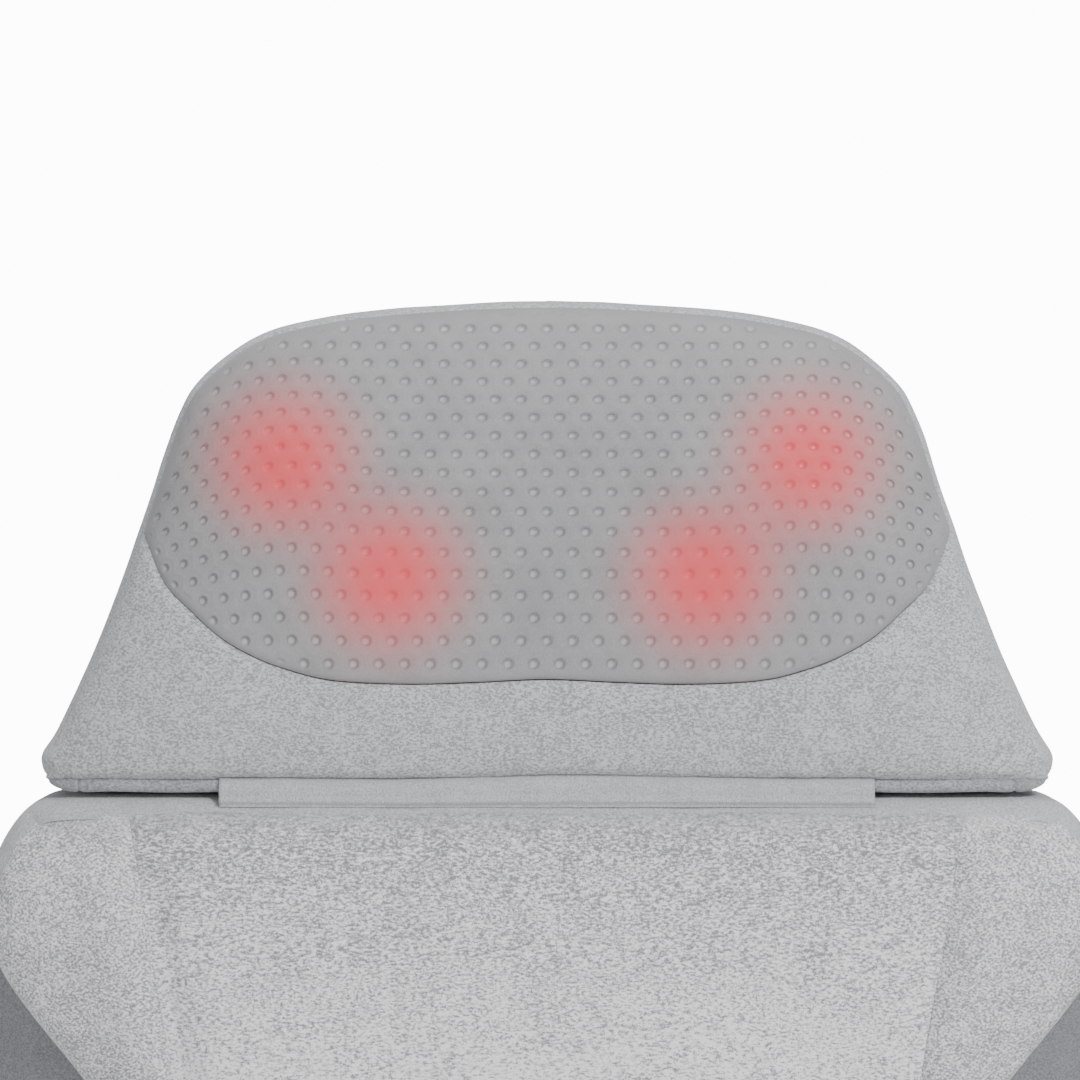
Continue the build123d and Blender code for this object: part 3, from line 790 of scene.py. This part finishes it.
def make_foam_sheet():
    """The frame's foam sheet, pressed back where the stuffed front is thin."""
    mesh = frame["nodes"]["front_foam_sheet"].data.copy()
    points = np.empty(3 * len(mesh.vertices), np.float32)
    mesh.vertices.foreach_get("co", points)
    points = points.reshape(-1, 3)
    room = front_y(points[:, 0] / MM, points[:, 2] / MM) + 2.6
    points[:, 1] = np.clip(points[:, 1], np.minimum(room, FRAME_Y - 0.5) * MM, None)
    mesh.vertices.foreach_set("co", points.ravel())
    mesh.materials.clear()
    mesh.materials.append(foam)
    return placed("frame_foam_sheet", mesh)


def make_cushion_filling():
    """Foam core of the cushion, 3 mm inside its cloth."""
    seam, rear_seam = cushion_seam[::4], cushion_rear_seam[::4]
    rings = []
    for share in np.linspace(0, 1, 16):
        line = ring(seam, 13.0, 8.0, share)
        rings.append((line, cushion_front_y(line[:, 0], line[:, 1]) + 4.2))
    for y in (-28, -14, 0, 12, 24):
        v = (y - CUSHION_SEAM_Y) / (CUSHION_REAR_SEAM_Y - CUSHION_SEAM_Y)
        v -= 0.12 * smooth((0.5 - v) / 0.2)  # stays back where the wings taper
        line = between_seams(cushion, cushion_seam, cushion_rear_seam, cushion_band_power, v)[::4]
        rings.append((ring(line, 9.0, 9.0), y))
    for share in np.linspace(1, 0, 12):
        line = ring(rear_seam, 6.0, 6.0, share)
        rings.append((line, cushion_rear_y(line[:, 0], line[:, 1]) - 3.0))
    return filling("cushion_padding", rings, foam)


def make_lips(side):
    """Bound edge under the front seam, from behind the flap to the corner, joined by a seam near its end."""
    lips = []
    joint, end = 191.0, 204.0
    # Each half of the lip gets a cloth darkened as painted shade.
    halves = ("inner", FLAP_HALF - 6, joint, inner_lip_painted_shade_cloth), ("outer", joint, end, lip_painted_shade_cloth)
    for part, start, stop, cloth in halves:
        x = np.linspace(start, stop, 60)
        dip = hump(x - joint, 0.7, 9)
        z = SEAM_Z - 2.9 + 1.6 * smooth((x - 197) / 10) ** 2 - dip + 0.3 * np.sin(x / 14)
        y = front_y(x, np.full(x.shape, SEAM_Z)) + 1.9
        taper = np.sqrt(np.clip((end + 0.6 - x) / 9, 0.02, 1)) * (1 - hump(x - joint, 0.22, 0.9))
        radii = np.column_stack([2.5 * taper, 2.7 * taper])
        line = np.column_stack([side * x, y, z])
        name = f"neck_lip_{'right' if side > 0 else 'left'}_{part}"
        lips.append(swept(name, line, radii, cloth, 16))
    return lips


# ------------------------------ cushion
CUSHION_SEAM_Y, CUSHION_REAR_SEAM_Y = -39.0, 34.0
CUSHION_PUFF = 25.0
CUSHION_SIDE_ROUND, CUSHION_TOP_ROUND, CUSHION_FOOT_ROUND = 70.0, 130.0, 30.0
CUSHION_SEAM_INSET, CUSHION_FOOT_INSET = 6.8, 2.5
TAPER, TAPER_FROM, TAPER_REACH = 75, 170, 74  # how far the wings' seam draws in, below which height
SIDE_CLOTH_AND_SHADE_BELOW = 172  # the band's darker side cloth, its darkness partly painted shade, reaches up to this height
DIVIDE_TOP, DIVIDE_LEAN = 170, 0.17  # the divide's place at the top, and its lean inwards going down
cushion = whole(CUSHION, 0, 900)
cushion_out = outward(cushion)
cushion_bottom = smooth((6 - cushion[:, 1]) / 6)
cushion_inset = CUSHION_SEAM_INSET + (CUSHION_FOOT_INSET - CUSHION_SEAM_INSET) * cushion_bottom
cushion_rear_seam = cushion - cushion_out * cushion_inset[:, None]
below_taper = np.clip(TAPER_FROM - cushion_rear_seam[:, 1], 0, None)
drawn_in = TAPER * (1 - np.exp(-((below_taper / TAPER_REACH) ** 1.9)))
drawn_in *= smooth((np.abs(cushion[:, 0]) - 90) / 140)  # the wings taper towards the foot
cushion_seam = cushion_rear_seam - np.column_stack([np.sign(cushion[:, 0]) * drawn_in, 0 * drawn_in])
cushion_band_power = 4.0 + 6.0 * smooth((cushion_seam[:, 1] - 200) / 12) + 4.0 * cushion_bottom
cushion_band_power += (2.0 - cushion_band_power) * smooth(drawn_in / 30)


def divide_x(z):
    """Where the centre panel meets a wing, at a height."""
    return DIVIDE_TOP - (CUSHION_TOP - 8 - z) * DIVIDE_LEAN


at_right = (cushion_seam[:, 0] > 140) & (cushion_seam[:, 1] > 12) & (cushion_out[:, 0] > 0.55)
cushion_side = cushion_seam[at_right]


def cushion_front_y(x, z):
    """Depth of the cushion's stuffed front, with a sewn groove between the centre and each wing."""
    top, low = cushion_seam[:, 1].max(), cushion_seam[:, 1].min()
    side = rounding(distance(np.abs(x), z, cushion_side), CUSHION_SIDE_ROUND)
    side = side ** (1 + 0.8 * smooth((z - 180) / 28))
    rise = side * (0.55 + 0.45 * rounding(np.clip(top - z, 0, None), CUSHION_TOP_ROUND))
    rise = rise * (0.6 + 0.4 * rounding(np.clip(z - low, 0, None), CUSHION_FOOT_ROUND))
    depth = smooth((CUSHION_TOP - 10 - z) / 34)
    past_divide = np.abs(x) - divide_x(z)
    groove = hump(past_divide + 3, 1.0, 8.0) * depth
    wing = hump(past_divide - 15, 1.0, 12) * depth
    return CUSHION_SEAM_Y - CUSHION_PUFF * rise + 4.4 * groove - 2.2 * wing


def seam_heights(seam, x):
    """Lower and upper height of a seam of the cushion at each x."""
    right, upper = seam[:, 0] > -1, seam[:, 1] > seam[:, 1].mean()
    return height_of(seam[right & ~upper], x), height_of(seam[right & upper], x)


def cushion_panel(name, x, z, material, seed, flip=False):
    """One cloth panel of the cushion's front, from the places of its grid points in X and Z."""
    y = cushion_front_y(x, z)
    edge = distance(x, z, joined_up(cushion_seam))
    joint = np.abs(np.abs(x) - divide_x(z))
    y = y + hump(edge, GROOVE, GROOVE_WIDTH) + hump(joint, 0.8, 1.2)
    y = y + gathers(edge, x + z, 6.0, 17.0, 0.25) + 0.6 * ripple(x, z, seed, 80)
    points = tuck(np.stack([x, y, z], -1), HEM, 0.5)
    return grid_object(name, points, material, flip=flip)


def make_cushion_centre():
    """Centre panel; its sides are found by steps, since their height range depends on their place."""
    columns, rows = 190, 110
    t = (eased(rows) / 2 + 0.5)[:, None]
    edge = divide_x(t * CUSHION_TOP)
    for _ in range(3):
        low, top = seam_heights(cushion_seam, edge)
        edge = divide_x(low + (top - low) * t) + 0.4
    x = eased(columns)[None] * edge
    low, top = seam_heights(cushion_seam, x)
    return cushion_panel("cushion_centre_cloth", x, low + (top - low) * t, centre_cloth, 31)


def make_cushion_wing(side):
    """Wing between the dividing seam and the outer seam, whose ends run in to it at the top and bottom."""
    rows, columns = 150, 56
    right = cushion_seam[cushion_seam[:, 0] > 0]
    start = int(np.argmin(np.hypot(right[:, 0] - divide_x(CUSHION_TOP), right[:, 1] - CUSHION_TOP)))
    end = int(np.argmin(np.hypot(right[:, 0] - divide_x(0.0), right[:, 1])))
    outer = evenly(right[start:end + 1], rows)[::-1]
    z_inner = outer[0, 1] + (outer[-1, 1] - outer[0, 1]) * np.linspace(0, 1, rows)
    inner = np.column_stack([divide_x(z_inner), z_inner])
    t = np.linspace(0, 1, columns)[None, :, None]
    flat = inner[:, None] * (1 - t) + outer[:, None] * t
    name = "cushion_right_wing_cloth" if side > 0 else "cushion_left_wing_cloth"
    cloth = right_cloth if side > 0 else left_cloth
    return cushion_panel(name, side * flat[..., 0], flat[..., 1], cloth, 32 + side, flip=side < 0)


def make_cushion_band():
    """Gusset round the cushion, of a darker cloth at the sides and foot; the darkness is partly painted
    shade.
    """
    line = cushion_seam
    front = cushion_front_y(line[:, 0], line[:, 1])[None]
    rear = np.full((1, len(line)), CUSHION_REAR_SEAM_Y)
    seams, power = (cushion_seam, cushion_rear_seam), cushion_band_power[None]
    band = ring_band(
        "cushion_gusset_cloth", cushion, cushion_out, seams, front, rear, power, 46, band_cloth,
        wobble=0.4, seed=6,
    )
    band.data.materials.append(side_cloth_and_painted_shade)
    for face in band.data.polygons:
        face.material_index = int(line[face.index % len(line), 1] < SIDE_CLOTH_AND_SHADE_BELOW)
    return band


def cushion_rear_y(x, z):
    """Depth of the cushion's stuffed rear."""
    edge = distance(x, z, joined_up(cushion_rear_seam))
    return CUSHION_REAR_SEAM_Y + (REAR_Y - CUSHION_REAR_SEAM_Y - 0.3) * rounding(edge, 34)


def make_cushion_rear():
    """Lining cloth on the cushion's rear."""
    columns, rows = 150, 80
    t = (eased(rows) / 2 + 0.5)[:, None]
    reach = cushion_rear_seam[:, 0].max() - 0.4
    x = np.tile(eased(columns)[None] * reach, (rows, 1))
    low, top = seam_heights(cushion_rear_seam, x)
    z = low + (top - low) * t
    edge = distance(x, z, joined_up(cushion_rear_seam))
    y = cushion_rear_y(x, z) - hump(edge, GROOVE, GROOVE_WIDTH)
    points = tuck(np.stack([x, y, z], -1), -HEM, 0.5)
    return grid_object("cushion_rear_cloth", points, rear_cloth, flip=True)


# ------------------------------ hinge flap, strap and zip
FLAP_LENGTH, FLAP_SEWN = 11.6, 10.5  # below the seam: the flap's lower edge, and its sewn line


def make_flap():
    """Cloth hinge: sewn under the neck unit's front seam and on to the cushion's top edge."""
    columns, rows = 200, 30
    x = np.tile(np.linspace(-FLAP_HALF, FLAP_HALF, columns), (rows, 1))
    t = np.linspace(0, 1, rows)[:, None]
    top = SEAM_Z + bottom_wave(x) + 0.5
    low = SEAM_Z - FLAP_LENGTH
    z = top + (low - top) * t
    at_top = front_y(x, np.full(x.shape, SEAM_Z)) - 0.6
    at_low = cushion_front_y(x, np.full(x.shape, low)) - 0.5
    slack = -1.5 * np.sin(math.pi * np.clip(t / 0.62, 0, 1))
    y = at_top + (at_low - at_top) * smooth(t) + slack + 0.25 * ripple(x, z, 9, 34)
    sewn = SEAM_Z - FLAP_SEWN + 0.3 * np.sin(x / 31)
    y = y + hump(z - sewn, 0.55, 0.9) + hump(z - top, 0.9, 1.2)
    y = y + 1.6 * smooth((t - 0.8) / 0.2)
    return grid_object("hinge_flap_cloth", np.stack([x, y, z], -1), flap_cloth, flip=True)


def add_thickness(obj, thickness):
    """Gives a cloth surface its thickness, inwards."""
    solid = obj.modifiers.new("thickness", "SOLIDIFY")
    solid.thickness = thickness * MM
    solid.offset = -1


def rounded_boxes(name, boxes, bevel, material):
    """Many small rounded blocks as one mesh."""
    verts, faces = [], []
    for low, high in boxes:
        start = len(verts)
        verts += [(x, y, z) for x in (low[0], high[0]) for y in (low[1], high[1]) for z in (low[2], high[2])]
        for quad in ((0, 1, 3, 2), (4, 6, 7, 5), (0, 4, 5, 1), (2, 3, 7, 6), (0, 2, 6, 4), (1, 5, 7, 3)):
            faces.append(tuple(start + k for k in quad))
    obj = new_object(name, verts, faces, material)
    rounded = obj.modifiers.new("rounded", "BEVEL")
    rounded.width = bevel * MM
    rounded.segments = 2
    return obj


def make_strap():
    """Webbing band across the rear, pressed down at its sewn ends."""
    low, high = corners("chair_strap")
    x, z = np.meshgrid(np.linspace(low[0], high[0], 160), np.linspace(low[2], high[2], 16))
    sewn = smooth((np.abs(x) - (high[0] - 24)) / 8)
    y = high[1] + 0.7 - 1.2 * sewn + 0.2 * ripple(x, z, 21, 60)
    obj = grid_object("chair_strap_webbing", np.stack([x, y, z], -1), webbing, flip=True)
    add_thickness(obj, 1.4)
    return obj


def make_strap_stitches():
    """Box stitch with a cross at each sewn end of the strap."""
    low, high = corners("chair_strap")
    y = high[1] - 0.1
    boxes = []
    length, gap, thick = 2.2, 1.0, 0.5
    for side in (-1, 1):
        x0, x1 = side * (high[0] - 3), side * (high[0] - 21)
        z0, z1 = low[2] + 4, high[2] - 4
        a, b, c, d = (x0, z0), (x1, z0), (x1, z1), (x0, z1)
        for start, end in ((a, b), (b, c), (c, d), (d, a), (a, c), (d, b)):
            run = math.dist(start, end)
            for k in range(int(run / (length + gap))):
                t = (k + 0.5) * (length + gap) / run
                cx, cz = start[0] + (end[0] - start[0]) * t, start[1] + (end[1] - start[1]) * t
                along_x = abs(end[0] - start[0]) / run
                half_x = max(length / 2 * along_x, thick / 2)
                half_z = max(length / 2 * math.sqrt(1 - along_x**2), thick / 2)
                boxes.append(((cx - half_x, y - 0.3, cz - half_z), (cx + half_x, y + 0.35, cz + half_z)))
    return rounded_boxes("strap_stitches", boxes, 0.12, thread)


def make_zip():
    """Tape and two rows of interlocked teeth."""
    low, high = corners("zip_track")
    middle = (low[2] + high[2]) / 2
    x, z = np.meshgrid(np.linspace(low[0] - 3, high[0] + 3, 120), np.linspace(low[2], high[2], 14))
    y = low[1] + 0.45 + hump(z - middle, 0.25, 3) + 0 * x
    tape = grid_object("zip_tape_cloth", np.stack([x, y, z], -1), webbing, flip=True)
    add_thickness(tape, 0.6)
    boxes = []
    pitch = 2.0
    for k in range(int((high[0] - low[0]) / pitch)):
        x0 = low[0] + 0.4 + k * pitch
        boxes.append(((x0, high[1] - 1.3, middle - 1.9), (x0 + 0.8, high[1], middle + 0.5)))
        boxes.append(((x0 + 1.0, high[1] - 1.3, middle - 0.5), (x0 + 1.8, high[1], middle + 1.9)))
    teeth = rounded_boxes("zip_teeth", boxes, 0.15, zip_plastic)
    return tape, teeth


def stuffed(piece, body, nodes):
    """Puts a padded piece on its body, in place of the CAD nodes that it stands for."""
    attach(piece, body)
    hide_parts(*nodes)


# ------------------------------ pieces in place of the soft CAD nodes
stuffed(make_panel(), "neck_unit", ["dimple_panel"])
stuffed(make_lower_front(), "neck_unit", ["neck_lower_front"])
stuffed(make_neck_band(), "neck_unit", ["neck_gusset", "neck_bottom_cover"])
stuffed(make_neck_rear(), "neck_unit", ["neck_rear_cover"])
stuffed(make_neck_filling(), "neck_unit", ["neck_foam"])
stuffed(make_foam_sheet(), "neck_unit", ["front_foam_sheet"])
for side in (-1, 1):
    for lip in make_lips(side):
        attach(lip, "neck_unit")
stuffed(make_cushion_centre(), "cushion", ["cushion_front_panel"])
stuffed(make_cushion_wing(1), "cushion", ["cushion_wings"])
stuffed(make_cushion_wing(-1), "cushion", ["cushion_wings"])
stuffed(make_cushion_filling(), "cushion", ["cushion_core"])
stuffed(make_cushion_band(), "cushion", ["cushion_gusset"])
stuffed(make_cushion_rear(), "cushion", ["cushion_rear_cover"])

flap = make_flap()
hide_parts("hinge_flap")
add_thickness(flap, 0.9)
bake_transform(flap)

strap = make_strap()
stitches = make_strap_stitches()
tape, teeth = make_zip()
slots = (strap, "strap_webbing"), (stitches, "strap_webbing"), (tape, "zip_tape"), (teeth, "zip_tape")
for piece, slot_name in slots:
    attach(piece, "cushion")
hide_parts("chair_strap")
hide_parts("zip_track")

# ------------------------------ materials of the CAD nodes
SLOT_MATERIALS = {
    "light_fabric": neck_cloth,
    "panel_mesh": panel_mesh,
    "rear_fabric": rear_cloth,
    "foam": foam,
    "strap_webbing": webbing,
    "zip_tape": webbing,
    "case_plastic": plastic("case plastic", (0.07, 0.07, 0.075), 0.55),
    "dark_plastic": plastic("pod plastic", (0.045, 0.045, 0.05), 0.5),
    "button_plastic": plastic("button plastic", (0.30, 0.31, 0.32), 0.32, 2600, 0.02),
    "cap_red": plastic("red cap", (0.55, 0.05, 0.04), 0.3),
    "gear_nylon": plastic("nylon", (0.72, 0.70, 0.62), 0.5),
    "circuit_board": plastic("board", (0.03, 0.16, 0.06), 0.4),
    "wire": plastic("wire", (0.40, 0.03, 0.03), 0.45),
    "steel": metal("steel", (0.60, 0.60, 0.61), 0.35),
    "bush_brass": metal("bronze", (0.60, 0.44, 0.24), 0.4),
    "slip_copper": metal("copper", (0.72, 0.40, 0.28), 0.3),
    "zip_metal": metal("nickel", (0.55, 0.55, 0.56), 0.3),
}
for entry in frame["record"]["subparts"]:
    obj = frame["nodes"][entry["node"]]
    obj.data.materials.clear()
    obj.data.materials.append(SLOT_MATERIALS[entry["material_slot"]])


# ------------------------------ studio and camera
FLOOR_RADIUS = 2400
SHOWN_WIDTH = 0.450  # metres of the object that the picture's width takes in


def studio():
    """Round pale floor."""
    turn = np.linspace(0, 2 * math.pi, 96, endpoint=False)
    rim = np.column_stack([FLOOR_RADIUS * np.cos(turn), FLOOR_RADIUS * np.sin(turn), np.zeros(len(turn))])
    white = studio_material("studio white", (0.86, 0.86, 0.865))
    floor = new_object("studio_floor", rim, [tuple(range(len(turn)))], white)


def area_light(name, place, target, size, power):
    """Round white lamp that points at the target; size in metres, power in watts."""
    data = bpy.data.lights.new(name, "AREA")
    data.shape, data.size, data.energy = "DISK", size, power
    lamp = placed(name, data)
    lamp.location = place
    lamp.rotation_mode = "QUATERNION"
    lamp.rotation_quaternion = (Vector(target) - Vector(place)).to_track_quat("-Z", "Y")


def camera():
    """Level view from the front, a little to the right, at a portrait lens's distance."""
    aim = Vector((-0.003, 0.0, (SEAM_Z + 96.7) * MM))
    azimuth, elevation, away = math.radians(0.3), math.radians(0.6), 2.2
    level = math.cos(elevation)
    back = Vector((math.sin(azimuth) * level, -math.cos(azimuth) * level, math.sin(elevation)))
    data = bpy.data.cameras.new("camera")
    data.sensor_width = 36
    data.lens = data.sensor_width * away / SHOWN_WIDTH
    cam = placed("camera", data)
    cam.location = aim + back * away
    cam.rotation_mode = "QUATERNION"
    cam.rotation_quaternion = (-back).to_track_quat("-Z", "Y")
    bpy.context.scene.camera = cam


def lighting():
    """White surroundings that light softly, a large key lamp at the upper right and a weak fill."""
    world = bpy.data.worlds.new("studio air")
    world.use_nodes = True
    tree = world.node_tree
    soft = feed(tree, tree.nodes["Background"], Color=(0.97, 0.98, 1.0, 1), Strength=0.5)
    seen = add(tree, "Background", Strength=16.0)
    from_camera = add(tree, "LightPath").outputs["Is Camera Ray"]
    either = add(tree, "MixShader", from_camera, soft.outputs[0], seen.outputs[0])
    feed(tree, tree.nodes["World Output"], Surface=either.outputs[0])
    bpy.context.scene.world = world
    target = (0, 0, 0.30)
    area_light("key", (1.05, -1.7, 1.65), target, 0.7, 50)
    area_light("fill", (-1.8, -1.9, 0.6), target, 1.6, 7)
    area_light("top", (0, 0.1, 2.4), target, 1.4, 22)


studio()
lighting()
camera()
